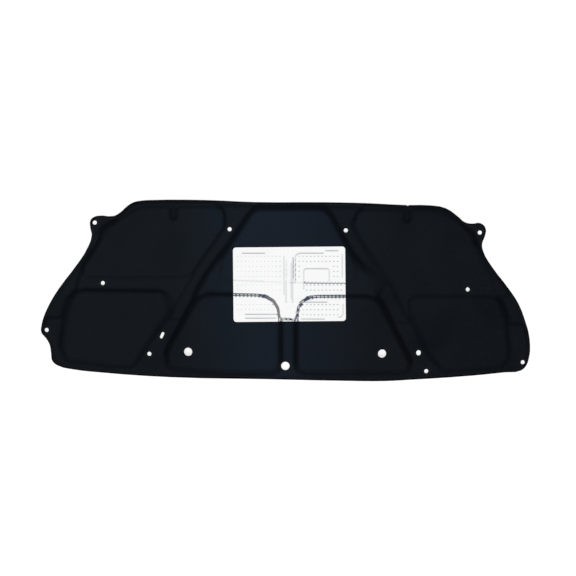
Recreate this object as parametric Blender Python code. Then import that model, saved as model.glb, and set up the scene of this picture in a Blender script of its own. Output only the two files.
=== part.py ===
"""Hood insulation pad, in metres with +Z up.

A felt pad pressed in one piece lies on its flat back. Its rim is thin, and blocks of thick felt
stand on it with soft walls between them. An aluminium foil shield covers the middle and follows
the felt under it. The origin is under the middle of the pad, +X runs along its length, and +Y
towards its straight long edge.
"""

import math

import bmesh
import bpy
from mathutils import Matrix, Vector

# Overall size of the felt pad.
pad_length = 1.272
pad_depth = 0.472

# Thickness of the pressed rim, and how far each level stands above it.
rim_thickness = 0.004
shelf_rise = 0.002
front_shelf_rise = 0.005
strip_rise = 0.0035
border_rise = 0.0065
left_bed_rise = 0.0065
right_bed_rise = 0.008
outer_upper_rise = 0.009
lower_left_rise = 0.0125
lower_right_rise = 0.0115
centre_bed_rise = 0.012
centre_upper_rise = 0.0145
centre_lower_rise = 0.0185

# Widths of the soft walls that fall from a level to the rim, seen from above.
margin_wall = 0.034
broad_margin_wall = 0.040
corner_wall = 0.017
upper_wall = 0.014
lower_wall = 0.018
strip_wall = 0.030
lower_strip_wall = 0.040
valley_wall = 0.070
ear_wall = 0.026
foot_wall = 0.010
border_wall = 0.005
centre_wall = 0.029
centre_corner_wall = 0.024
centre_top_wall = 0.022
centre_foot_wall = 0.016
channel_wall = 0.018
groove_wall = 0.006
step_wall = 0.008
ramp_wall = 0.050
bed_front_wall = 0.022
shelf_wall = 0.004
wall_steps = 5
wall_root = 0.0006

# Holes through the pad: for the retaining clips, for access, an oval one and a slot.
clip_hole = 0.011
access_hole = 0.022
oval_width = 0.0122
oval_length = 0.0136
slot_width = 0.0076
slot_length = 0.0175
slot_lean = math.radians(-24)
hole_sides = 24

# Shallow dents in the two upper fields, and the nick in the straight edge.
dent_width = 0.022
dent_length = 0.066
dent_depth = 0.004
dent_sides = 16
nick_width = 0.007

# Foil heat shield.
foil_length = 0.291
foil_depth = 0.193
foil_corner_radius = 0.008
foil_turn = math.radians(0.55)
foil_thickness = 0.0005
foil_gap = 0.0005
foil_corner_steps = 5

# Steps on each stretch of the outline, on each rounded corner, and past a face for a clean cut.
outline_steps = 3
corner_steps = 4
most_of_side = 0.45
overcut = 0.002

# The pad's outline, clockwise from the left end of its straight edge, as drawn at its real size.
outline = (
    (-0.3770, 0.2344), (-0.3520, 0.2362), (-0.2064, 0.2362), (-0.0819, 0.2310), (0.1050, 0.2305),
    (0.2090, 0.2282), (0.3128, 0.2232), (0.3752, 0.2224), (0.4160, 0.2152), (0.4495, 0.1923),
    (0.4654, 0.1788), (0.4854, 0.1746), (0.5060, 0.1762), (0.5205, 0.1621), (0.5182, 0.1418),
    (0.5112, 0.1223), (0.5140, 0.1023), (0.5340, 0.0662), (0.5840, -0.0001), (0.6061, -0.0350),
    (0.6250, -0.0850), (0.6326, -0.1135), (0.6357, -0.1548), (0.6328, -0.1754), (0.6261, -0.1951),
    (0.6110, -0.2089), (0.5697, -0.2133), (0.4870, -0.2217), (0.3214, -0.2328), (0.2590, -0.2360),
    (0.1552, -0.2354), (-0.0525, -0.2310), (-0.3019, -0.2258), (-0.4885, -0.2128),
    (-0.5504, -0.2058), (-0.5905, -0.1962), (-0.6063, -0.1837), (-0.6097, -0.1634),
    (-0.6128, -0.1429), (-0.6224, -0.1247), (-0.6352, -0.1086), (-0.6341, -0.0880),
    (-0.6290, -0.0690), (-0.6130, -0.0330), (-0.5897, 0.0051), (-0.5400, 0.0714),
    (-0.5177, 0.1065), (-0.5041, 0.1447), (-0.5080, 0.1650), (-0.5065, 0.1853), (-0.4891, 0.1951),
    (-0.4477, 0.1946), (-0.4295, 0.2042), (-0.4144, 0.2183), (-0.3973, 0.2297),
)

# Each level is drawn by the edge of its flat top, clockwise. A corner is x, y, how far back along
# its two sides the rounding starts, and the width of the wall that falls away outside it.
upper_left_field = (
    (-0.3750, 0.2140, 0.020, foot_wall), (-0.1626, 0.2140, 0.018, foot_wall),
    (-0.1626, 0.1680, 0.012, upper_wall), (-0.2530, 0.0385, 0.014, upper_wall),
    (-0.5250, 0.0385, 0.012, upper_wall), (-0.5150, 0.0650, 0.012, lower_wall),
    (-0.4800, 0.1180, 0.018, lower_wall), (-0.4640, 0.1520, 0.014, ear_wall),
    (-0.4050, 0.1970, 0.016, upper_wall),
)
upper_centre_field = (
    (-0.0770, 0.2055, 0.014, centre_top_wall), (0.1020, 0.2055, 0.020, centre_top_wall),
    (0.1800, 0.0560, 0.014, centre_wall), (0.1740, 0.0360, 0.012, ramp_wall),
    (0.0247, 0.0260, 0.006, groove_wall), (0.0247, 0.0880, 0.0115, groove_wall),
    (0.0013, 0.0880, 0.0115, groove_wall), (0.0013, 0.0260, 0.006, groove_wall),
    (-0.1570, 0.0360, 0.012, ramp_wall), (-0.1610, 0.0750, 0.014, centre_wall),
)
upper_right_field = (
    (0.1865, 0.2070, 0.021, foot_wall), (0.3780, 0.2070, 0.020, foot_wall),
    (0.4160, 0.1930, 0.016, upper_wall), (0.4570, 0.1630, 0.016, lower_wall),
    (0.4740, 0.1380, 0.016, ear_wall), (0.4890, 0.1120, 0.016, lower_wall),
    (0.5200, 0.0520, 0.016, upper_wall), (0.5400, 0.0205, 0.012, upper_wall),
    (0.2810, 0.0205, 0.014, strip_wall), (0.1865, 0.1660, 0.014, strip_wall),
)
lower_left_field = (
    (-0.5400, -0.0065, 0.024, centre_corner_wall), (-0.3115, -0.0075, 0.020, lower_wall),
    (-0.3115, -0.0455, 0.014, lower_strip_wall), (-0.3985, -0.1920, 0.014, lower_wall),
    (-0.4500, -0.1930, 0.016, foot_wall), (-0.4890, -0.1870, 0.016, foot_wall),
    (-0.5680, -0.1760, 0.014, corner_wall), (-0.5700, -0.1300, 0.020, margin_wall),
    (-0.5540, -0.0550, 0.020, broad_margin_wall), (-0.5430, -0.0300, 0.010, broad_margin_wall),
)
lower_centre_left_field = (
    (-0.2170, -0.0175, 0.026, centre_wall), (-0.0200, -0.0165, 0.056, channel_wall),
    (-0.0200, -0.2065, 0.018, channel_wall), (-0.1480, -0.2070, 0.020, centre_foot_wall),
    (-0.2550, -0.2000, 0.020, centre_foot_wall), (-0.3010, -0.1950, 0.018, corner_wall),
    (-0.2985, -0.1570, 0.018, centre_corner_wall),
)
lower_centre_right_field = (
    (0.0350, -0.0190, 0.050, channel_wall), (0.2290, -0.0240, 0.022, centre_wall),
    (0.3150, -0.1850, 0.018, centre_corner_wall), (0.3130, -0.2060, 0.012, centre_foot_wall),
    (0.0350, -0.2065, 0.018, channel_wall),
)
lower_right_field = (
    (0.3240, -0.0240, 0.022, strip_wall), (0.5430, -0.0240, 0.018, strip_wall),
    (0.5590, -0.0750, 0.020, margin_wall), (0.5675, -0.1650, 0.016, margin_wall),
    (0.5630, -0.1935, 0.014, corner_wall), (0.4070, -0.2030, 0.014, lower_wall),
    (0.3740, -0.1370, 0.016, lower_strip_wall), (0.3360, -0.0620, 0.016, lower_strip_wall),
)
left_bed = (
    (-0.5250, 0.0500, 0.010, lower_wall), (-0.2390, 0.0500, 0.010, upper_wall),
    (-0.3070, -0.0650, 0.010, upper_wall), (-0.5480, -0.0500, 0.010, lower_wall),
)
centre_bed = (
    (-0.1350, 0.1150, 0.010, centre_wall), (0.1440, 0.1150, 0.010, centre_wall),
    (0.1900, 0.0570, 0.010, centre_wall), (0.2200, 0.0180, 0.010, valley_wall),
    (0.2290, -0.0260, 0.010, centre_wall), (0.2450, -0.0680, 0.010, bed_front_wall),
    (-0.2420, -0.0680, 0.010, bed_front_wall), (-0.2200, -0.0080, 0.010, centre_wall),
    (-0.2010, 0.0270, 0.010, centre_wall), (-0.1790, 0.0590, 0.010, centre_wall),
)
right_bed = (
    (0.2700, 0.0450, 0.010, strip_wall), (0.5230, 0.0450, 0.010, lower_wall),
    (0.5450, -0.0300, 0.010, lower_wall), (0.5450, -0.0550, 0.010, lower_wall),
    (0.3250, -0.0650, 0.010, strip_wall),
)
upper_left_border = (
    (-0.4360, 0.1900, 0.006, border_wall), (-0.4240, 0.1960, 0.008, border_wall),
    (-0.4085, 0.2120, 0.008, border_wall), (-0.3935, 0.2220, 0.008, border_wall),
    (-0.3750, 0.2270, 0.010, border_wall), (-0.3520, 0.2285, 0.010, border_wall),
    (-0.1750, 0.2285, 0.010, border_wall), (-0.1750, 0.2000, 0.005, border_wall),
    (-0.3650, 0.2000, 0.005, border_wall), (-0.4300, 0.1750, 0.005, border_wall),
)
upper_right_border = (
    (0.2000, 0.2210, 0.010, border_wall), (0.3128, 0.2160, 0.010, border_wall),
    (0.3720, 0.2145, 0.012, border_wall), (0.4110, 0.2075, 0.010, border_wall),
    (0.4430, 0.1860, 0.010, border_wall), (0.4600, 0.1710, 0.006, border_wall),
    (0.4500, 0.1500, 0.005, border_wall), (0.3800, 0.1900, 0.005, border_wall),
    (0.2000, 0.1900, 0.005, border_wall),
)
right_border = (
    (0.4850, 0.1150, 0.006, border_wall), (0.5010, 0.1150, 0.006, border_wall),
    (0.5060, 0.1000, 0.006, border_wall), (0.5260, 0.0640, 0.012, border_wall),
    (0.5740, -0.0010, 0.008, border_wall), (0.5790, -0.0120, 0.004, border_wall),
    (0.5400, -0.0120, 0.005, border_wall), (0.4900, 0.0900, 0.005, border_wall),
)
front_shelf = (
    (-0.6180, -0.0735, 0.005, step_wall), (0.6150, -0.0910, 0.005, step_wall),
    (0.6245, -0.1150, 0.010, border_wall), (0.6275, -0.1545, 0.010, border_wall),
    (0.6250, -0.1730, 0.008, border_wall), (0.6190, -0.1900, 0.008, border_wall),
    (0.6080, -0.2008, 0.008, border_wall), (0.5690, -0.2052, 0.010, border_wall),
    (0.4865, -0.2137, 0.010, border_wall), (0.3210, -0.2248, 0.010, border_wall),
    (0.2590, -0.2280, 0.010, border_wall), (0.1550, -0.2274, 0.010, border_wall),
    (-0.0525, -0.2230, 0.010, border_wall), (-0.3015, -0.2178, 0.010, border_wall),
    (-0.4875, -0.2048, 0.010, border_wall), (-0.5490, -0.1980, 0.010, border_wall),
    (-0.5870, -0.1890, 0.008, border_wall), (-0.5985, -0.1795, 0.008, border_wall),
    (-0.6017, -0.1625, 0.008, border_wall), (-0.6055, -0.1405, 0.008, border_wall),
    (-0.6165, -0.1200, 0.008, border_wall), (-0.6250, -0.1060, 0.006, border_wall),
    (-0.6240, -0.0900, 0.006, border_wall),
)
margin_shelf = (
    (-0.3700, 0.2240, 0.020, shelf_wall), (0.3740, 0.2120, 0.020, shelf_wall),
    (0.4120, 0.2040, 0.014, shelf_wall), (0.4620, 0.1680, 0.014, shelf_wall),
    (0.4980, 0.1250, 0.014, shelf_wall), (0.5030, 0.0980, 0.012, shelf_wall),
    (0.5250, 0.0600, 0.014, shelf_wall), (0.5740, -0.0060, 0.014, shelf_wall),
    (0.5970, -0.0400, 0.014, shelf_wall), (0.6140, -0.0830, 0.006, step_wall),
    (-0.6160, -0.0660, 0.006, step_wall), (-0.6030, -0.0330, 0.012, shelf_wall),
    (-0.5790, 0.0020, 0.014, shelf_wall), (-0.5290, 0.0670, 0.014, shelf_wall),
    (-0.5070, 0.1030, 0.014, shelf_wall), (-0.4930, 0.1450, 0.014, shelf_wall),
    (-0.4300, 0.1900, 0.014, shelf_wall), (-0.4000, 0.2170, 0.014, shelf_wall),
)
strip_level = (
    (-0.1850, 0.2140, 0.010, foot_wall), (0.2050, 0.2090, 0.010, foot_wall),
    (0.3520, -0.0850, 0.010, step_wall), (-0.3350, -0.0710, 0.010, step_wall),
)

clip_places = (
    (-0.4953, 0.1767), (0.5052, 0.1507), (-0.6198, -0.1026), (0.6165, -0.1866), (-0.4740, 0.0194),
    (0.4735, 0.0027), (-0.1448, 0.1593), (0.1570, 0.1564), (-0.3533, -0.1647), (0.3658, -0.2097),
)
access_places = ((-0.2522, -0.1593), (0.2509, -0.1639), (0.0000, -0.1962))
slot_place = (-0.3201, -0.1164)
oval_place = (0.3458, -0.1621)
dent_places = ((-0.2900, 0.2140), (0.3150, 0.2070))
nick_place = (0.3180, 0.2236)
foil_place = (0.0104, 0.0163)


def extent(axis):
    """Lowest and highest drawn coordinate of the outline along one axis."""
    values = [point[axis] for point in outline]
    return min(values), max(values)


def on_pad(x, y):
    """A drawn place, carried to the pad's own length and depth and centred on its origin."""
    left, right = extent(0)
    front, back = extent(1)
    return Vector((
        (x - (left + right) / 2) * pad_length / (right - left),
        (y - (front + back) / 2) * pad_depth / (back - front),
    ))


def new_object(name, mesh, collection):
    made = bpy.data.objects.new(name, mesh)
    collection.objects.link(made)
    return made


def helper(name, form, collection):
    """A solid that shapes another one and isn't a piece of its own."""
    mesh = bpy.data.meshes.new(name)
    form.to_mesh(mesh)
    form.free()
    made = new_object(name, mesh, collection)
    made.hide_render = True
    made.display_type = "WIRE"
    return made


def outward(points):
    """For each point of a clockwise loop, the way out of it, as long as keeps the sides parallel."""
    ways = []
    for index, point in enumerate(points):
        before = (point - points[index - 1]).normalized()
        after = (points[(index + 1) % len(points)] - point).normalized()
        first = Vector((-before.y, before.x))
        second = Vector((-after.y, after.x))
        ways.append((first + second) / (1 + first.dot(second)))
    return ways


def rounded(corners):
    """The points of a loop with each corner rounded, and the wall width at each of them."""
    points = []
    walls = []
    for index, (x, y, cut, wall) in enumerate(corners):
        corner = on_pad(x, y)
        before = on_pad(*corners[index - 1][:2])
        after = on_pad(*corners[(index + 1) % len(corners)][:2])
        to_before = before - corner
        to_after = after - corner
        start = corner + to_before.normalized() * min(cut, to_before.length * most_of_side)
        end = corner + to_after.normalized() * min(cut, to_after.length * most_of_side)
        for step in range(corner_steps + 1):
            part = step / corner_steps
            points.append(
                start * (1 - part) ** 2 + corner * 2 * part * (1 - part) + end * part ** 2
            )
            walls.append(wall)
    return points, walls


def level(name, points, walls, rise, collection):
    """A flat-topped block of thick felt, whose wall falls to the rim in a soft S."""
    form = bmesh.new()
    ways = outward(points)
    ring = [form.verts.new((point.x, point.y, rim_thickness + rise)) for point in points]
    form.faces.new(reversed(ring))
    for step in range(1, wall_steps + 1):
        across = step / wall_steps
        fall = (rise + wall_root) * (1 - math.cos(math.pi * across)) / 2
        next_ring = []
        for point, way, wall in zip(points, ways, walls):
            place = point + way * wall * across
            next_ring.append(form.verts.new((place.x, place.y, rim_thickness + rise - fall)))
        for index in range(len(ring)):
            form.faces.new((ring[index - 1], ring[index], next_ring[index], next_ring[index - 1]))
        ring = next_ring
    form.faces.new(ring)
    return helper(name, form, collection)


def felt_levels(collection):
    """Every level of the pad above its rim: shelves, strips, borders, beds and fields."""
    levels = (
        ("margin_shelf", margin_shelf, shelf_rise),
        ("strip_level", strip_level, strip_rise),
        ("upper_left_border", upper_left_border, border_rise),
        ("upper_right_border", upper_right_border, border_rise),
        ("right_border", right_border, border_rise),
        ("front_shelf", front_shelf, front_shelf_rise),
        ("left_bed", left_bed, left_bed_rise),
        ("right_bed", right_bed, right_bed_rise),
        ("centre_bed", centre_bed, centre_bed_rise),
        ("upper_left_field", upper_left_field, outer_upper_rise),
        ("upper_right_field", upper_right_field, outer_upper_rise),
        ("upper_centre_field", upper_centre_field, centre_upper_rise),
        ("lower_left_field", lower_left_field, lower_left_rise),
        ("lower_right_field", lower_right_field, lower_right_rise),
        ("lower_centre_left_field", lower_centre_left_field, centre_lower_rise),
        ("lower_centre_right_field", lower_centre_right_field, centre_lower_rise),
    )
    made = []
    for name, corners, rise in levels:
        made.append(level(name, *rounded(corners), rise, collection))
    return made


def mesh_from_curve(name, curve, collection):
    """A curve's solid as a mesh with its caps welded on, so that it can be cut and joined."""
    drawn = new_object(name + "_drawn", curve, collection)
    graph = bpy.context.evaluated_depsgraph_get()
    mesh = bpy.data.meshes.new_from_object(drawn.evaluated_get(graph))
    mesh.name = name
    form = bmesh.new()
    form.from_mesh(mesh)
    bmesh.ops.remove_doubles(form, verts=form.verts, dist=0.00001)
    bmesh.ops.recalc_face_normals(form, faces=form.faces)
    form.to_mesh(mesh)
    form.free()
    made = new_object(name, mesh, collection)
    made.matrix_world = drawn.matrix_world
    bpy.data.objects.remove(drawn)
    return made


def felt_sheet(collection):
    """The pad's whole outline at the thickness of its rim, fitted to its length and depth."""
    curve = bpy.data.curves.new("felt_outline", "CURVE")
    curve.dimensions = "2D"
    curve.fill_mode = "BOTH"
    curve.extrude = rim_thickness / 2
    curve.resolution_u = outline_steps
    spline = curve.splines.new("BEZIER")
    spline.bezier_points.add(len(outline) - 1)
    spline.use_cyclic_u = True
    for knot, (x, y) in zip(spline.bezier_points, outline):
        knot.co = (*on_pad(x, y), 0)
        knot.handle_left_type = "AUTO"
        knot.handle_right_type = "AUTO"
    sheet = mesh_from_curve("felt_pad", curve, collection)
    spots = [vert.co for vert in sheet.data.vertices]
    low = Vector(min(spot[axis] for spot in spots) for axis in range(3))
    high = Vector(max(spot[axis] for spot in spots) for axis in range(3))
    size = high - low
    fit = Matrix.Diagonal((pad_length / size.x, pad_depth / size.y, rim_thickness / size.z, 1))
    under = Vector(((low.x + high.x) / 2, (low.y + high.y) / 2, low.z))
    sheet.data.transform(fit @ Matrix.Translation(-under))
    return sheet


def hole_cutter(name, place, width, length, lean, collection):
    """A round or long hole through the whole pad: a cylinder whose two halves stand apart."""
    deepest = rim_thickness + centre_lower_rise + 2 * overcut
    form = bmesh.new()
    bmesh.ops.create_cone(
        form, cap_ends=True, segments=hole_sides, radius1=width / 2, radius2=width / 2,
        depth=deepest,
    )
    form.transform(Matrix.Rotation(math.pi / hole_sides, 4, "Z"))
    for vert in form.verts:
        vert.co.y += math.copysign((length - width) / 2, vert.co.y)
    spot = on_pad(*place)
    middle = Vector((spot.x, spot.y, deepest / 2 - overcut))
    form.transform(Matrix.Translation(middle) @ Matrix.Rotation(lean, 4, "Z"))
    return helper(name, form, collection)


def dent_cutter(name, place, collection):
    """A shallow dent at the upper edge of a field: a flattened egg whose halves stand apart."""
    form = bmesh.new()
    bmesh.ops.create_uvsphere(form, u_segments=dent_sides, v_segments=dent_sides // 2, radius=1)
    form.transform(Matrix.Rotation(math.pi / dent_sides, 4, "Z"))
    form.transform(Matrix.Diagonal((dent_width / 2, dent_width / 2, dent_depth, 1)))
    for vert in form.verts:
        if vert.co.xy.length > dent_width / 100:
            vert.co.y += math.copysign((dent_length - dent_width) / 2, vert.co.y)
    spot = on_pad(*place)
    form.transform(Matrix.Translation((spot.x, spot.y, rim_thickness + outer_upper_rise)))
    return helper(name, form, collection)


def cutters(collection):
    made = []
    for number, place in enumerate(clip_places, start=1):
        made.append(
            hole_cutter(f"clip_hole_{number}", place, clip_hole, clip_hole, 0, collection)
        )
    for number, place in enumerate(access_places, start=1):
        made.append(
            hole_cutter(f"access_hole_{number}", place, access_hole, access_hole, 0, collection)
        )
    made.append(hole_cutter("slot", slot_place, slot_width, slot_length, slot_lean, collection))
    made.append(hole_cutter("oval_hole", oval_place, oval_width, oval_length, 0, collection))
    made.append(hole_cutter("nick", nick_place, nick_width, nick_width, 0, collection))
    for number, place in enumerate(dent_places, start=1):
        made.append(dent_cutter(f"dent_{number}", place, collection))
    return made


def combine(target, collection, operation):
    step = target.modifiers.new(collection.name, "BOOLEAN")
    step.operation = operation
    step.solver = "EXACT"
    step.operand_type = "COLLECTION"
    step.collection = collection


def felt_pad(collection, forms, cuts):
    pad = felt_sheet(collection)
    felt_levels(forms)
    cutters(cuts)
    combine(pad, forms, "UNION")
    combine(pad, cuts, "DIFFERENCE")
    pad.modifiers.new("flat_faces", "TRIANGULATE")
    return pad


def foil_sides():
    """A point and the way out for each straight side and corner step of the foil's outline."""
    middle = on_pad(*foil_place)
    lean = Matrix.Rotation(foil_turn, 2)
    sides = []
    for quarter in range(4):
        for step in range(foil_corner_steps + 1):
            turn = math.pi / 2 * (quarter + step / foil_corner_steps)
            way = Vector((math.cos(turn), math.sin(turn)))
            corner_turn = math.pi / 2 * (quarter + 0.5)
            corner = Vector((
                math.copysign(foil_length / 2 - foil_corner_radius, math.cos(corner_turn)),
                math.copysign(foil_depth / 2 - foil_corner_radius, math.sin(corner_turn)),
            ))
            sides.append((middle + lean @ (corner + way * foil_corner_radius), lean @ way))
    return sides


def foil_heat_shield(pad, collection):
    """The felt's upper surface inside the foil's outline, lifted clear of it and given its gauge."""
    graph = bpy.context.evaluated_depsgraph_get()
    form = bmesh.new()
    form.from_mesh(pad.evaluated_get(graph).data)
    for point, way in foil_sides():
        bmesh.ops.bisect_plane(
            form, geom=form.verts[:] + form.edges[:] + form.faces[:], dist=0.000001,
            plane_co=(point.x, point.y, 0), plane_no=(way.x, way.y, 0), clear_outer=True,
        )
    form.normal_update()
    unseen = [face for face in form.faces if face.normal.z < 0.1]
    bmesh.ops.delete(form, geom=unseen, context="FACES")
    bmesh.ops.translate(form, verts=form.verts, vec=(0, 0, foil_gap))
    grown = bmesh.ops.extrude_face_region(form, geom=form.faces[:], use_keep_orig=True)["geom"]
    upper = [item for item in grown if isinstance(item, bmesh.types.BMVert)]
    bmesh.ops.translate(form, verts=upper, vec=(0, 0, foil_thickness))
    bmesh.ops.recalc_face_normals(form, faces=form.faces)
    mesh = bpy.data.meshes.new("foil_heat_shield")
    form.to_mesh(mesh)
    form.free()
    return new_object("foil_heat_shield", mesh, collection)


def material(name, colour, roughness, metallic):
    made = bpy.data.materials.new(name)
    made.use_nodes = True
    shader = made.node_tree.nodes["Principled BSDF"]
    shader.inputs["Base Color"].default_value = (*colour, 1)
    shader.inputs["Roughness"].default_value = roughness
    shader.inputs["Metallic"].default_value = metallic
    return made


def new_collection(name):
    made = bpy.data.collections.new(name)
    bpy.context.scene.collection.children.link(made)
    return made


def main():
    for old in list(bpy.data.objects):
        bpy.data.objects.remove(old)
    pieces = new_collection("hood_insulation_pad")
    forms = new_collection("pad_levels")
    cuts = new_collection("pad_cutters")
    pad = felt_pad(pieces, forms, cuts)
    shield = foil_heat_shield(pad, pieces)
    pad.data.materials.append(material("black_felt", (0.012, 0.015, 0.019), 0.95, 0.0))
    shield.data.materials.append(material("aluminium_foil", (0.88, 0.90, 0.91), 0.30, 1.0))


main()
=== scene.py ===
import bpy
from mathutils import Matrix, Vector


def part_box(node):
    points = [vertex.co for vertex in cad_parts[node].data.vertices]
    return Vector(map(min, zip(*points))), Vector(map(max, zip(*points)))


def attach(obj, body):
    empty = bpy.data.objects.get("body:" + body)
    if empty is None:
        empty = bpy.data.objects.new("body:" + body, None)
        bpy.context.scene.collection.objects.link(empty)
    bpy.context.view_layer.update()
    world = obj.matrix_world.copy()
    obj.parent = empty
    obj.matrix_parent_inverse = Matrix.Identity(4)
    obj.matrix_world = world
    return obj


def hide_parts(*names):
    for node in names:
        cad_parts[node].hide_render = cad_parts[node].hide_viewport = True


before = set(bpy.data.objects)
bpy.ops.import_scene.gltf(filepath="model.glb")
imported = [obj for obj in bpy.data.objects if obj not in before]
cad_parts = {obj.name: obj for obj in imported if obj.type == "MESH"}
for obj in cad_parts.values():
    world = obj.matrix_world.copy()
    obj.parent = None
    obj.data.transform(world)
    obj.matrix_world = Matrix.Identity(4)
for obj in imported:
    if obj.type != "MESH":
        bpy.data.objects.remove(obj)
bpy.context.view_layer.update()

import math

import bmesh
import bpy
import numpy as np
from mathutils import Matrix, Vector, noise
from mathutils.bvhtree import BVHTree

# The felt pad is 1.27 m long and lies on its flat back, with the foil on its upper side.
# All lengths are in metres.
pad_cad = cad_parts["felt_pad"]
pad_low, pad_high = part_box("felt_pad")
foil_low, foil_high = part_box("foil_heat_shield")

# Grid on which the height of the felt is worked out.
felt_cell = 0.002
felt_border = 0.020
soft_wall = 0.0022
soft_crown = 0.014
crown_share = 0.10
field_depth = 0.008
broad_ripple = (0.110, 0.00045)
fine_ripple = (0.034, 0.00016)
steep_slopes = (0.10, 0.52)
steep_spread = 0.0022
full_bend = 90
hollow_spread = 0.0015
edge_spread = 0.0040

# Painted light: the walls that face the front, towards the lamp, get less painted shade and so
# look a little paler.
front_wall_share = 0.35
front_wall_slope = 0.45
# Painted shade in the dents and one tight corner: centre, width, length and how dark.
painted_shade_places = (
    (-0.2900, 0.2040, 0.018, 0.046, 0.24),
    (0.3150, 0.1970, 0.018, 0.046, 0.24),
    (-0.1930, -0.0100, 0.030, 0.030, 0.30),
)
# Places where the felt sags softly between two walls: centre and size.
sagged_places = (
    (-0.3000, -0.0250, 0.022), (0.2226, 0.0496, 0.030), (-0.1740, 0.2250, 0.014),
    (0.1930, 0.2220, 0.014),
)
sag_softness = 0.009

# Meshes of the two pieces.
felt_mesh_cell = 0.0026
foil_mesh_cell = 0.00109
rim_height = 0.004
slab_half = 0.020
block_height = 0.060
slab_margin = 0.006

# Foil.
foil_size = (0.291, 0.193)
foil_turn = math.radians(0.55)
foil_corner_radius = 0.008
foil_corner_cuts = 5
foil_under = 0.00040
foil_gauge = 0.00018
foil_rest = 0.0002
stud_height = 0.00104
stud_radius = 0.0029
stud_pitch = (0.00995, 0.0131)
pucker_height = 0.00110
pucker_radius = 0.0044
left_pucker_shift = 0.0040
line_depth = 0.00082
line_width = 0.0022
pucker_step = 0.0048
pucker_sway = 0.0009

# Colours of the felt: at the sides, in the middle with a paler bluish painted reflection of the
# foil, and dimmer to the right and the front.
side_tone = (0.0060, 0.0083, 0.0107)
middle_reflection_tone = (0.0089, 0.0138, 0.0230)
dim_tone = (0.0037, 0.0052, 0.0072)
cloud_tone = (0.0093, 0.0112, 0.0136)
hair_tone = (0.0146, 0.0172, 0.0206)
# Painted shade on the steep walls and in the hollows at their feet.
wall_shade_tone = (0.0012, 0.0018, 0.0028)
trim_tone = (0.034, 0.030, 0.031)
# Painted shade: a dark line along the cut edge.
edge_shade_tone = (0.0008, 0.0009, 0.0012)
trim_share = 0.55
# Shares of painted shade: on steep walls, in the hollows, at most in all, and along the cut edge.
steep_share = 0.66
hollow_share = 0.15
darkest_share = 0.70
edge_shade_share = 0.95

# Colours of the foil; its line tone is painted shade in the pressed lines.
foil_tone = (0.955, 0.957, 0.955)
foil_line_shade_tone = (0.50, 0.53, 0.57)
foil_smear_tone = (0.82, 0.84, 0.86)

# Camera, floor and light.
frame_width = 1.4976
camera_height = 6.0
sensor_width = 36.0
view_centre = (0.0066, 0.0064)
floor_half = 40.0
screen_lean = math.radians(17)
screen_tone = (0.99, 0.99, 0.99)
room_tone = (0.045, 0.060, 0.100)
room_right_tone = (0.20, 0.20, 0.20)
backdrop_tone = (0.90, 0.90, 0.90)
floor_tone = (0.36, 0.36, 0.36)
floor_glow = 0.68
floor_drop = 0.0006
window_energy = 1.7
window_spread = math.radians(25)
window_turn = (math.radians(14), math.radians(-3), 0)


def blurred(values, sigma):
    """The values of a grid softened over sigma metres, with its border carried outwards."""
    reach = int(math.ceil(3 * sigma / felt_cell))
    spots = np.arange(-reach, reach + 1) * felt_cell
    weights = np.exp(-0.5 * (spots / sigma) ** 2)
    weights /= weights.sum()
    soft = np.pad(values, reach, mode="edge")
    soft = sum(
        weight * soft[:, step:step + values.shape[1]] for step, weight in enumerate(weights)
    )
    return sum(
        weight * soft[step:step + values.shape[0], :] for step, weight in enumerate(weights)
    )


def filled(values, known):
    """The grid with each unknown value taken from the known ones beside it, ring by ring."""
    values = np.where(known, values, 0.0)
    known = known.copy()
    while not known.all():
        total = np.zeros_like(values)
        count = np.zeros_like(values)
        for axis in (0, 1):
            for way in (-1, 1):
                total += np.roll(np.where(known, values, 0.0), way, axis)
                count += np.roll(known, way, axis)
        new = ~known & (count > 0)
        values[new] = total[new] / count[new]
        known |= new
    return values


def felt_grid():
    """Rays dropped on the pad: the height of its upper side, and where there is felt at all."""
    tree = BVHTree.FromPolygons(
        [vert.co for vert in pad_cad.data.vertices],
        [face.vertices for face in pad_cad.data.polygons],
    )
    xs = np.arange(pad_low.x - felt_border, pad_high.x + felt_border, felt_cell)
    ys = np.arange(pad_low.y - felt_border, pad_high.y + felt_border, felt_cell)
    heights = np.zeros((len(ys), len(xs)))
    solid = np.zeros(heights.shape, bool)
    down = Vector((0, 0, -1))
    for row, y in enumerate(ys):
        for column, x in enumerate(xs):
            hit = tree.ray_cast(Vector((x, y, 0.1)), down)[0]
            if hit is not None:
                heights[row, column] = hit.z
                solid[row, column] = True
    return xs, ys, heights, solid


def rippled(xs, ys, size, seed):
    """A smooth uneven field of about that size of ripple, between -1 and 1."""
    shift = Vector((seed * 7.3, seed * 3.1, seed))
    coarse_x = np.arange(0, len(xs) + 4, 4)
    coarse_y = np.arange(0, len(ys) + 4, 4)
    coarse = np.array([
        [
            noise.noise(Vector((column, row, 0)) * (felt_cell / size) + shift)
            for column in coarse_x
        ]
        for row in coarse_y
    ])
    rows = np.arange(len(ys)) / 4
    columns = np.arange(len(xs)) / 4
    low_row = rows.astype(int)
    low_column = columns.astype(int)
    part_row = (rows - low_row)[:, None]
    part_column = (columns - low_column)[None, :]
    upper = coarse[low_row][:, low_column] * (1 - part_column)
    upper += coarse[low_row][:, low_column + 1] * part_column
    lower = coarse[low_row + 1][:, low_column] * (1 - part_column)
    lower += coarse[low_row + 1][:, low_column + 1] * part_column
    return 2 * (upper * (1 - part_row) + lower * part_row)


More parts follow.
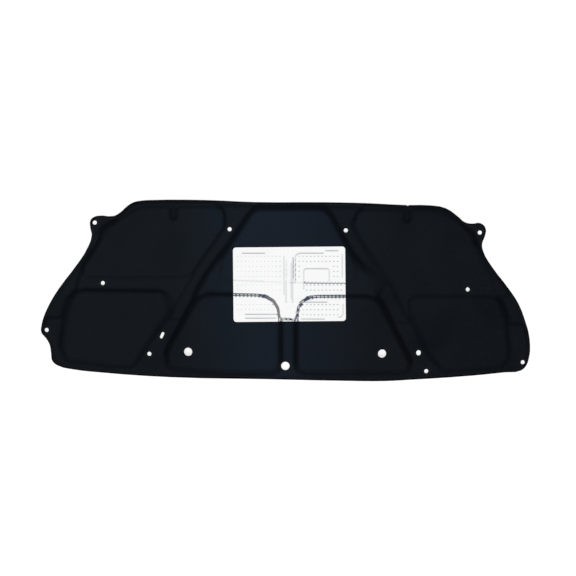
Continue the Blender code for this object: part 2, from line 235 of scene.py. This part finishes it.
class Surface:
    """The upper side of the felt: its height, and its steep, hollow and cut places."""

    def __init__(self):
        self.xs, self.ys, raw, solid = felt_grid()
        level = filled(raw, solid)
        soft = self.sagged(level, blurred(level, soft_wall))
        crowned = soft * (1 - crown_share) + blurred(level, soft_crown) * crown_share
        thick = np.clip((crowned - rim_height) / field_depth, 0, 1)
        wave = rippled(self.xs, self.ys, broad_ripple[0], 3) * broad_ripple[1]
        wave += rippled(self.xs, self.ys, fine_ripple[0], 5) * fine_ripple[1]
        self.height = np.maximum(crowned + wave * (0.3 + 0.7 * thick), rim_height * 0.85)
        slope_y, slope_x = np.gradient(soft, felt_cell)
        bend = np.gradient(slope_y, felt_cell, axis=0) + np.gradient(slope_x, felt_cell, axis=1)
        lowest, highest = steep_slopes
        # Painted shade on the steep walls of the felt.
        steep = np.clip((np.hypot(slope_x, slope_y) - lowest) / (highest - lowest), 0, 1)
        # Painted light: walls that face the front, towards the lamp, get less painted shade.
        steep *= 1 - front_wall_share * np.clip(slope_y / front_wall_slope, 0, 1)
        # Painted shade in the dents and a tight corner.
        steep = np.maximum(steep, self.darker())
        self.steep = blurred(steep, steep_spread)
        # Painted shade in the hollows at the foot of the walls.
        self.hollow = blurred(np.clip(bend / full_bend, -1, 1), hollow_spread)
        self.open = blurred(1.0 - solid, edge_spread)
        # Painted shade along the cut edge is strongest on the front and back sides.
        away_y, away_x = np.gradient(self.open)
        long_side = np.abs(away_y) / np.maximum(np.hypot(away_x, away_y), 0.0001)
        self.long_side = 0.65 + 0.35 * long_side

    def darker(self):
        """How much painted shade each place of the grid gets in the dents and a tight corner."""
        inside = np.zeros((len(self.ys), len(self.xs)))
        for x, y, width, length, shade in painted_shade_places:
            across = np.abs(self.xs - x) / (width / 2)
            along = np.abs(self.ys - y) / (length / 2)
            shape = np.exp(-(across[None, :] ** 4) - along[:, None] ** 6)
            inside = np.maximum(inside, shape * shade)
        return inside

    def sagged(self, level, soft):
        """The soft level, softer still round the places that sag."""
        softer = blurred(level, sag_softness)
        for x, y, size in sagged_places:
            away = np.hypot(self.xs[None, :] - x, self.ys[:, None] - y) / size
            soft = soft + (softer - soft) * np.exp(-away ** 2)
        return soft

    def at(self, values, xy):
        """The grid's values at many places, by straight lines between its points."""
        column = np.clip((xy[:, 0] - self.xs[0]) / felt_cell, 0, len(self.xs) - 1.001)
        row = np.clip((xy[:, 1] - self.ys[0]) / felt_cell, 0, len(self.ys) - 1.001)
        low_column = column.astype(int)
        low_row = row.astype(int)
        across = column - low_column
        up = row - low_row
        near = values[low_row, low_column] * (1 - across)
        near += values[low_row, low_column + 1] * across
        far = values[low_row + 1, low_column] * (1 - across)
        far += values[low_row + 1, low_column + 1] * across
        return near * (1 - up) + far * up


def places(mesh):
    spots = np.empty(len(mesh.vertices) * 3)
    mesh.vertices.foreach_get("co", spots)
    return spots.reshape(-1, 3)


def put_places(mesh, spots):
    mesh.vertices.foreach_set("co", spots.ravel())
    mesh.update()


def remember(mesh, name, values):
    """Keeps one number for each point of the mesh, for a material to read."""
    layer = mesh.attributes.new(name, "FLOAT", "POINT")
    layer.data.foreach_set("value", values.astype(np.float32))


def new_piece(name, form):
    mesh = bpy.data.meshes.new(name)
    form.to_mesh(mesh)
    form.free()
    made = bpy.data.objects.new(name, mesh)
    bpy.context.scene.collection.objects.link(made)
    return made


def sheet_of_squares(low, high, cell):
    """A flat grid of small squares that covers a rectangle."""
    form = bmesh.new()
    size = high - low
    bmesh.ops.create_grid(
        form, x_segments=int(size.x / cell), y_segments=int(size.y / cell), size=0.5,
    )
    middle = (low + high) / 2
    form.transform(
        Matrix.Translation((middle.x, middle.y, 0)) @ Matrix.Diagonal((size.x, size.y, 1, 1))
    )
    return form


def pad_block():
    """The pad's outline with its holes, drawn up from its flat back into a tall block."""
    form = bmesh.new()
    form.from_mesh(pad_cad.data)
    bmesh.ops.remove_doubles(form, verts=form.verts, dist=0.00001)
    form.normal_update()
    other = [
        face for face in form.faces
        if face.normal.z > -0.99 or face.calc_center_median().z > 0.0002
    ]
    bmesh.ops.delete(form, geom=other, context="FACES")
    grown = bmesh.ops.extrude_face_region(form, geom=form.faces[:], use_keep_orig=True)["geom"]
    upper = [item for item in grown if isinstance(item, bmesh.types.BMVert)]
    bmesh.ops.translate(form, verts=upper, vec=(0, 0, block_height))
    bmesh.ops.recalc_face_normals(form, faces=form.faces)
    return new_piece("pad_block", form)


def felt_blank():
    """A dense flat slab with the pad's outline and holes cut in it."""
    margin = Vector((slab_margin, slab_margin, 0))
    form = sheet_of_squares(pad_low - margin, pad_high + margin, felt_mesh_cell)
    bmesh.ops.translate(form, verts=form.verts, vec=(0, 0, slab_half))
    rim = [edge for edge in form.edges if edge.is_boundary]
    grown = bmesh.ops.extrude_edge_only(form, edges=rim)["geom"]
    lower = [item for item in grown if isinstance(item, bmesh.types.BMVert)]
    bmesh.ops.translate(form, verts=lower, vec=(0, 0, -2 * slab_half))
    bmesh.ops.holes_fill(form, edges=[edge for edge in form.edges if edge.is_boundary])
    bmesh.ops.recalc_face_normals(form, faces=form.faces)
    blank = new_piece("moulded_felt", form)
    block = pad_block()
    cut = blank.modifiers.new("outline", "BOOLEAN")
    cut.operation = "INTERSECT"
    cut.solver = "EXACT"
    cut.object = block
    graph = bpy.context.evaluated_depsgraph_get()
    mesh = bpy.data.meshes.new_from_object(blank.evaluated_get(graph))
    blank.modifiers.clear()
    blank.data = mesh
    bpy.data.objects.remove(block)
    return blank


def moulded_felt(surface):
    """The felt, with every point of its upper side raised to the surface."""
    pad = felt_blank()
    mesh = pad.data
    spots = places(mesh)
    upper = spots[:, 2] > slab_half / 2
    height = surface.at(surface.height, spots)
    spots[:, 2] = np.where(upper, height, 0.0)
    put_places(mesh, spots)
    remember(mesh, "steep", surface.at(surface.steep, spots) * upper)
    remember(mesh, "hollow", surface.at(surface.hollow, spots) * upper)
    remember(mesh, "edge", surface.at(surface.open, spots))
    remember(mesh, "long_side", surface.at(surface.long_side, spots))
    mesh.shade_smooth()
    mesh.set_sharp_from_angle(angle=math.radians(50))
    return pad


def foil_cuts():
    """A point and the way out for each side and corner step of the foil's outline."""
    middle = (foil_low + foil_high) / 2
    lean = Matrix.Rotation(foil_turn, 3, "Z")
    for quarter in range(4):
        corner_turn = math.pi / 2 * (quarter + 0.5)
        corner = Vector((
            math.copysign(foil_size[0] / 2 - foil_corner_radius, math.cos(corner_turn)),
            math.copysign(foil_size[1] / 2 - foil_corner_radius, math.sin(corner_turn)),
            0,
        ))
        for step in range(foil_corner_cuts + 1):
            turn = math.pi / 2 * (quarter + step / foil_corner_cuts)
            way = Vector((math.cos(turn), math.sin(turn), 0))
            yield middle + lean @ (corner + way * foil_corner_radius), lean @ way


def distance_to_line(xy, start, end):
    start = np.array(start)
    along = np.array(end) - start
    part = np.clip(((xy - start) @ along) / (along @ along), 0, 1)
    return np.hypot(*(xy - start - part[:, None] * along).T)


def groove(distance, width):
    return np.exp(-0.5 * (distance / (width / 2)) ** 2)


# Lines pressed in the foil: each is a row of points joined in turn, from the pad's origin.
foil_lines = (
    ((0.0250, 0.0220), (0.0252, 0.0890), (0.0300, 0.0950), (0.0380, 0.0976), (0.0985, 0.0976)),
    ((0.0475, 0.0050), (0.0475, 0.0530), (0.0520, 0.0573), (0.1090, 0.0573), (0.1135, 0.0530),
     (0.1135, 0.0240)),
    ((0.1473, 0.0340), (0.1473, 0.0930)),
    ((0.1040, 0.1040), (0.1360, 0.1040)),
    ((-0.1120, 0.0975), (-0.0540, 0.0975)),
    ((-0.1040, -0.0610), (-0.0150, -0.0610)),
    ((-0.1040, -0.0710), (-0.0250, -0.0710)),
    ((0.0520, -0.0293), (0.1070, -0.0293)),
    ((0.0416, -0.0732), (0.1010, -0.0732)),
    ((0.1495, -0.0360), (0.1495, -0.0600), (0.1450, -0.0670), (0.1380, -0.0690)),
    ((-0.0036, 0.0880), (-0.0036, -0.0100)),
    ((0.0015, 0.0250), (0.0015, -0.0300)),
    ((0.0155, 0.0700), (0.0155, -0.0200)),
    ((0.0185, 0.0850), (0.0185, -0.0300)),
)


def zigzag(start, end):
    """A row of points that sways to both sides of a straight line, as puckered foil does."""
    start = Vector(start)
    along = Vector(end) - start
    count = int(along.length / pucker_step)
    across = Vector((-along.y, along.x)).normalized() * pucker_sway
    return [
        tuple(start + along * (step / count) + across * (-1) ** step)
        for step in range(count + 1)
    ]


# The line across the middle and the foil's front edge over the channel, with their depths.
puckered_lines = (
    (0.9, (-0.1363, 0.0265), (-0.0600, 0.0235)),
    (0.6, (-0.0600, 0.0235), (-0.0100, 0.0215)),
    (0.6, (0.0100, 0.0210), (0.0500, 0.0205)),
    (1.5, (0.0500, 0.0205), (0.1587, 0.0195)),
    (2.0, (-0.0110, -0.0733), (0.0130, -0.0737)),
    (2.0, (-0.0110, -0.0768), (0.0170, -0.0773)),
)

# Panels of studs: left, right, front and back, and the place of one stud of its rows.
stud_panels = (
    (-0.1260, -0.0110, 0.0300, 0.0930, 0.0059, 0.0872),
    (0.0300, 0.1430, 0.0640, 0.0930, 0.0059, 0.0872),
    (0.0300, 0.0420, 0.0300, 0.0640, 0.0059, 0.0872),
    (0.1190, 0.1430, 0.0300, 0.0640, 0.0059, 0.0872),
    (-0.1260, -0.0110, -0.0060, 0.0190, 0.0059, 0.0126),
    (0.0500, 0.1500, -0.0060, 0.0190, 0.0059, 0.0126),
    (-0.1260, -0.0250, -0.0570, -0.0250, 0.0059, -0.0381),
    (0.0420, 0.1440, -0.0680, -0.0320, 0.0059, -0.0381),
)


def foil_relief(xy, steep):
    """How far the foil stands above its own level: its studs, and its lines pressed down."""
    relief = np.zeros(len(xy))
    first_x, first_y = stud_panels[0][4:]
    over_x = xy[:, 0] - first_x - np.round((xy[:, 0] - first_x) / stud_pitch[0]) * stud_pitch[0]
    over_y = xy[:, 1] - first_y - np.where(xy[:, 0] < 0, left_pucker_shift, 0)
    over_y -= np.round(over_y / stud_pitch[1]) * stud_pitch[1]
    puckered = np.clip(1 - (np.hypot(over_x, over_y) / pucker_radius) ** 2, 0, 1)
    share = np.clip(steep * 1.6 - 0.2, 0, 1)
    share *= np.clip(0.25 + xy[:, 0] * 25, 0.12, 1) + np.clip(-xy[:, 0] * 30 - 1, 0, 0.85)
    relief += puckered * pucker_height * share
    for left, right, front, back, stud_x, stud_y in stud_panels:
        centre_x = stud_x + np.round((xy[:, 0] - stud_x) / stud_pitch[0]) * stud_pitch[0]
        centre_y = stud_y + np.round((xy[:, 1] - stud_y) / stud_pitch[1]) * stud_pitch[1]
        inside = (centre_x > left) & (centre_x < right) & (centre_y > front) & (centre_y < back)
        away = np.hypot(xy[:, 0] - centre_x, xy[:, 1] - centre_y)
        stud = np.clip(1 - (away / stud_radius) ** 2, 0, 1) ** 1.5
        relief += np.where(inside, stud * stud_height * np.clip(0.80 + centre_x * 3, 0.7, 1), 0)
    lines = [(1.0, line) for line in foil_lines]
    lines += [(share, zigzag(start, end)) for share, start, end in puckered_lines]
    for share, line in lines:
        nearest = np.min(
            [distance_to_line(xy, start, end) for start, end in zip(line, line[1:])], axis=0
        )
        relief -= groove(nearest, line_width) * line_depth * share
    return relief


def crinkle(spots):
    """The slight unevenness of thin foil pressed down by hand."""
    return np.array([
        noise.noise(Vector(spot) * 28) * 0.00016 + noise.noise(Vector(spot) * 95) * 0.00007
        for spot in spots
    ])


def foil_shield(surface):
    """The foil: a dense sheet that follows the felt, with its studs and its pressed lines."""
    form = sheet_of_squares(foil_low, foil_high, foil_mesh_cell)
    for point, way in foil_cuts():
        bmesh.ops.bisect_plane(
            form, geom=form.verts[:] + form.edges[:] + form.faces[:], dist=0.000001,
            plane_co=point, plane_no=way, clear_outer=True,
        )
    grown = bmesh.ops.extrude_face_region(form, geom=form.faces[:], use_keep_orig=True)["geom"]
    upper = [item for item in grown if isinstance(item, bmesh.types.BMVert)]
    bmesh.ops.translate(form, verts=upper, vec=(0, 0, 1))
    bmesh.ops.recalc_face_normals(form, faces=form.faces)
    shield = new_piece("dimpled_foil", form)
    mesh = shield.data
    spots = places(mesh)
    upper = spots[:, 2] > 0.5
    flat = spots[:, :2].copy()
    level = surface.at(surface.height, flat) + foil_under
    relief = foil_relief(flat, surface.at(surface.steep, flat))
    spots[:, 2] = level
    spots[:, 2] += crinkle(spots) + foil_rest
    raised = relief + line_depth
    spots[:, 2] += np.where(upper, raised + foil_gauge, np.minimum(raised, 0))
    put_places(mesh, spots)
    remember(mesh, "pressed", np.clip(-relief / line_depth, 0, 1) * upper)
    mesh.shade_smooth()
    mesh.set_sharp_from_angle(angle=math.radians(60))
    return shield


def material(name, colour, roughness, metallic):
    """A new material, with its nodes, links and shader."""
    made = bpy.data.materials.new(name)
    made.use_nodes = True
    nodes = made.node_tree.nodes
    shader = nodes["Principled BSDF"]
    shader.inputs["Base Color"].default_value = (*colour, 1)
    shader.inputs["Roughness"].default_value = roughness
    shader.inputs["Metallic"].default_value = metallic
    return made, nodes, made.node_tree.links, shader


def grain(nodes, links, scale, detail, stretch=(1, 1, 1), turn=0.0):
    """Noise on the object's own coordinates, stretched and turned."""
    spot = nodes.new("ShaderNodeTexCoord")
    place = nodes.new("ShaderNodeMapping")
    place.inputs["Scale"].default_value = stretch
    place.inputs["Rotation"].default_value = (0, 0, turn)
    speckle = nodes.new("ShaderNodeTexNoise")
    speckle.inputs["Scale"].default_value = scale
    speckle.inputs["Detail"].default_value = detail
    links.new(spot.outputs["Object"], place.inputs["Vector"])
    links.new(place.outputs["Vector"], speckle.inputs["Vector"])
    return speckle.outputs["Fac"]


def graded(nodes, links, value, low, high, start=0.0, end=1.0):
    """A number carried from one range to another, held at both ends."""
    change = nodes.new("ShaderNodeMapRange")
    change.inputs["From Min"].default_value = low
    change.inputs["From Max"].default_value = high
    change.inputs["To Min"].default_value = start
    change.inputs["To Max"].default_value = end
    links.new(value, change.inputs["Value"])
    return change.outputs["Result"]


def worked(nodes, links, operation, first, second):
    """One sum or product of two numbers, either of which may be a plain one."""
    step = nodes.new("ShaderNodeMath")
    step.operation = operation
    for socket, value in zip(step.inputs, (first, second)):
        if isinstance(value, (int, float)):
            socket.default_value = value
        else:
            links.new(value, socket)
    return step.outputs["Value"]


def mixed(nodes, links, share, first, second):
    """Two colours mixed by a share that is a number's socket."""
    mix = nodes.new("ShaderNodeMix")
    mix.data_type = "RGBA"
    links.new(share, mix.inputs["Factor"])
    for socket, value in ((mix.inputs["A"], first), (mix.inputs["B"], second)):
        if isinstance(value, tuple):
            socket.default_value = (*value, 1)
        else:
            links.new(value, socket)
    return mix.outputs["Result"]


def kept(nodes, name):
    """A number that the mesh keeps at each of its points."""
    node = nodes.new("ShaderNodeAttribute")
    node.attribute_name = name
    return node.outputs["Fac"]


def felt_material():
    """Black pressed felt: matt fibres, with painted shade on its steep walls, in the hollows at
    their feet and along its cut edge, and a painted reflection of the foil in its middle.
    """
    made, nodes, links, shader = material("black_felt", (0.008, 0.011, 0.014), 0.92, 0.0)
    shader.inputs["Specular IOR Level"].default_value = 0.02
    shader.inputs["Sheen Weight"].default_value = 0.008
    shader.inputs["Sheen Roughness"].default_value = 0.6
    spot = nodes.new("ShaderNodeTexCoord")
    apart = nodes.new("ShaderNodeSeparateXYZ")
    links.new(spot.outputs["Object"], apart.inputs["Vector"])
    sideways = worked(nodes, links, "ABSOLUTE", apart.outputs["X"], 0.0)
    # Painted reflection of the foil: the middle, most of all its raised fields, is paler and
    # bluish.
    middle = worked(
        nodes, links, "MULTIPLY", graded(nodes, links, sideways, 0.10, 0.28, 1.0, 0.0),
        graded(nodes, links, apart.outputs["Y"], -0.15, 0.20, 0.80, 1.0),
    )
    raised = worked(
        nodes, links, "MAXIMUM", graded(nodes, links, apart.outputs["Z"], 0.008, 0.014, 0.35, 1.0),
        graded(nodes, links, sideways, 0.06, 0.10, 1.0, 0.0),
    )
    middle = worked(nodes, links, "MULTIPLY", middle, raised)
    cool = mixed(nodes, links, middle, side_tone, middle_reflection_tone)
    near_right = graded(nodes, links, apart.outputs["X"], 0.00, 0.09, 0.0, 0.28)
    far_right = graded(nodes, links, apart.outputs["X"], 0.10, 0.45, 0.0, 0.28)
    to_front = worked(
        nodes, links, "MULTIPLY", graded(nodes, links, apart.outputs["Y"], 0.02, -0.06, 0.0, 0.35),
        graded(nodes, links, sideways, 0.10, 0.34, 0.40, 1.0),
    )
    dim = worked(nodes, links, "ADD", near_right, far_right)
    dim = worked(nodes, links, "ADD", dim, to_front)
    tone = mixed(nodes, links, dim, cool, dim_tone)
    cloud = graded(nodes, links, grain(nodes, links, 9.0, 3.0), 0.35, 0.65)
    tone = mixed(nodes, links, worked(nodes, links, "MULTIPLY", cloud, 0.30), tone, cloud_tone)
    fibre = grain(nodes, links, 900.0, 3.0, (1.0, 0.35, 1.0), 0.4)
    tangle = grain(nodes, links, 900.0, 3.0, (0.35, 1.0, 1.0), -0.5)
    hair = worked(nodes, links, "MULTIPLY", fibre, tangle)
    light_hair = graded(nodes, links, hair, 0.24, 0.42, 0.0, 0.45)
    tone = mixed(nodes, links, light_hair, tone, hair_tone)
    # Painted shade on the steep walls and in the hollows at their feet.
    steep = worked(nodes, links, "MULTIPLY", kept(nodes, "steep"), steep_share)
    # Painted shade in the hollows at the foot of the walls.
    hollow = graded(nodes, links, kept(nodes, "hollow"), 0.0, 0.6, 0.0, hollow_share)
    dark = worked(nodes, links, "ADD", steep, hollow)
    dark = worked(nodes, links, "MINIMUM", dark, darkest_share)
    tone = mixed(nodes, links, dark, tone, wall_shade_tone)
    edge = kept(nodes, "edge")
    trim = grain(nodes, links, 330.0, 2.0)
    speckled = worked(
        nodes, links, "MULTIPLY", graded(nodes, links, edge, 0.04, 0.22),
        graded(nodes, links, trim, 0.46, 0.60),
    )
    speckled = worked(nodes, links, "MULTIPLY", speckled, trim_share)
    tone = mixed(nodes, links, speckled, tone, trim_tone)
    # Painted shade: a dark line along the cut edge, darkest on the front and back sides.
    cut = worked(
        nodes, links, "MULTIPLY", graded(nodes, links, edge, 0.15, 0.25, 0.0, edge_shade_share),
        kept(nodes, "long_side"),
    )
    tone = mixed(nodes, links, cut, tone, edge_shade_tone)
    links.new(tone, shader.inputs["Base Color"])
    links.new(graded(nodes, links, hair, 0.2, 0.5, 0.98, 0.86), shader.inputs["Roughness"])
    bump = nodes.new("ShaderNodeBump")
    bump.inputs["Strength"].default_value = 0.55
    bump.inputs["Distance"].default_value = 0.0006
    tufts = worked(nodes, links, "MULTIPLY", grain(nodes, links, 160.0, 4.0), 0.6)
    links.new(worked(nodes, links, "ADD", hair, tufts), bump.inputs["Height"])
    links.new(bump.outputs["Normal"], shader.inputs["Normal"])
    return made


def foil_material():
    """Bright aluminium foil, with painted shade in its pressed lines, and a little duller where
    hands rubbed it.
    """
    made, nodes, links, shader = material("aluminium_foil", (0.90, 0.91, 0.92), 0.16, 1.0)
    smear = graded(nodes, links, grain(nodes, links, 22.0, 4.0), 0.35, 0.70)
    # Painted shade in the pressed lines of the foil.
    pressed = kept(nodes, "pressed")
    line_shade = worked(nodes, links, "MULTIPLY", pressed, 0.55)
    tone = mixed(nodes, links, line_shade, foil_tone, foil_line_shade_tone)
    tone = mixed(
        nodes, links, worked(nodes, links, "MULTIPLY", smear, 0.10), tone, foil_smear_tone
    )
    links.new(tone, shader.inputs["Base Color"])
    links.new(graded(nodes, links, smear, 0.0, 1.0, 0.13, 0.20), shader.inputs["Roughness"])
    bump = nodes.new("ShaderNodeBump")
    bump.inputs["Strength"].default_value = 0.10
    bump.inputs["Distance"].default_value = 0.0004
    links.new(grain(nodes, links, 260.0, 3.0), bump.inputs["Height"])
    links.new(bump.outputs["Normal"], shader.inputs["Normal"])
    return made


def pale_floor():
    """A large pale floor that is white to the camera and to shiny things, and keeps shadows."""
    form = bmesh.new()
    bmesh.ops.create_grid(form, x_segments=1, y_segments=1, size=floor_half)
    bmesh.ops.translate(form, verts=form.verts, vec=(0, 0, -floor_drop))
    floor = new_piece("floor", form)
    made, nodes, links, shader = material("pale_floor", floor_tone, 0.9, 0.0)
    shader.inputs["Specular IOR Level"].default_value = 0.0
    rays = nodes.new("ShaderNodeLightPath")
    seen = worked(
        nodes, links, "MAXIMUM", rays.outputs["Is Camera Ray"], rays.outputs["Is Glossy Ray"]
    )
    seen = worked(nodes, links, "MAXIMUM", seen, rays.outputs["Is Transmission Ray"])
    shader.inputs["Emission Color"].default_value = (1, 1, 1, 1)
    glow = worked(nodes, links, "MULTIPLY", seen, floor_glow)
    links.new(glow, shader.inputs["Emission Strength"])
    floor.data.materials.append(made)


def studio_light():
    """A broad bright screen overhead, leaning to the front, in a dim room with a pale backdrop."""
    world = bpy.data.worlds.new("studio")
    bpy.context.scene.world = world
    world.use_nodes = True
    nodes = world.node_tree.nodes
    links = world.node_tree.links
    spot = nodes.new("ShaderNodeTexCoord")
    lean = nodes.new("ShaderNodeVectorMath")
    lean.operation = "DOT_PRODUCT"
    lean.inputs[1].default_value = (0, -math.sin(screen_lean), math.cos(screen_lean))
    links.new(spot.outputs["Generated"], lean.inputs[0])
    screen = graded(nodes, links, lean.outputs["Value"], 0.50, 0.84)
    apart = nodes.new("ShaderNodeSeparateXYZ")
    links.new(spot.outputs["Generated"], apart.inputs["Vector"])
    room = mixed(
        nodes, links, graded(nodes, links, apart.outputs["X"], 0.20, 0.55),
        room_tone, room_right_tone,
    )
    above = mixed(nodes, links, screen, room, screen_tone)
    upward = graded(nodes, links, apart.outputs["Z"], 0.10, 0.20)
    tone = mixed(nodes, links, upward, backdrop_tone, above)
    background = nodes["Background"]
    links.new(tone, background.inputs["Color"])
    background.inputs["Strength"].default_value = 1.0
    lamp = bpy.data.lights.new("window", "SUN")
    lamp.energy = window_energy
    lamp.angle = window_spread
    window = bpy.data.objects.new("window", lamp)
    window.rotation_euler = window_turn
    window.visible_glossy = False
    bpy.context.scene.collection.objects.link(window)


def overhead_camera():
    lens = bpy.data.cameras.new("camera")
    lens.sensor_width = sensor_width
    lens.lens = sensor_width * camera_height / frame_width
    lens.clip_end = 50
    camera = bpy.data.objects.new("camera", lens)
    camera.location = (*view_centre, camera_height + rim_height)
    bpy.context.scene.collection.objects.link(camera)
    bpy.context.scene.camera = camera


bpy.context.scene.view_settings.view_transform = "Standard"
surface = Surface()
pad = moulded_felt(surface)
pad.data.materials.clear()
pad.data.materials.append(felt_material())
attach(pad, "root")
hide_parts("felt_pad")

shield = foil_shield(surface)
shield.data.materials.append(foil_material())
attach(shield, "root")
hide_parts("foil_heat_shield")

pale_floor()
studio_light()
overhead_camera()
